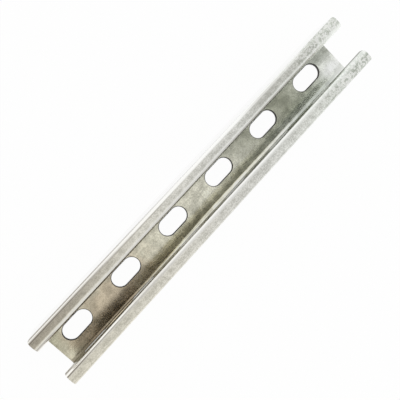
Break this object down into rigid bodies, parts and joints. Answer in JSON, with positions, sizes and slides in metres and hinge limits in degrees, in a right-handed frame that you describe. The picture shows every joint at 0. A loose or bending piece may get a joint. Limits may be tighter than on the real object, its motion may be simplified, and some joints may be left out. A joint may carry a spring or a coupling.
{
  "type": "perforated strut channel",
  "caption": "Length of roll-formed strut channel in galvanised sheet steel: an open C section with in-turned lips for channel nuts, and a row of bolt slots along its back.",
  "frame": {"origin": "middle of the back face, at half the length and half the width", "axes": "+X along the channel, away from the end nearest to a slot; +Y across it; +Z out of the mouth, with the back on the floor"},
  "size_m": [0.3, 0.0412, 0.0413],
  "materials": {
    "galvanised_steel": "hot-dip galvanised sheet, satin, with a faint spangle and frosted patches"
  },
  "bodies": {
    "root": {"strut_channel": "galvanised_steel"}
  },
  "joints": []
}
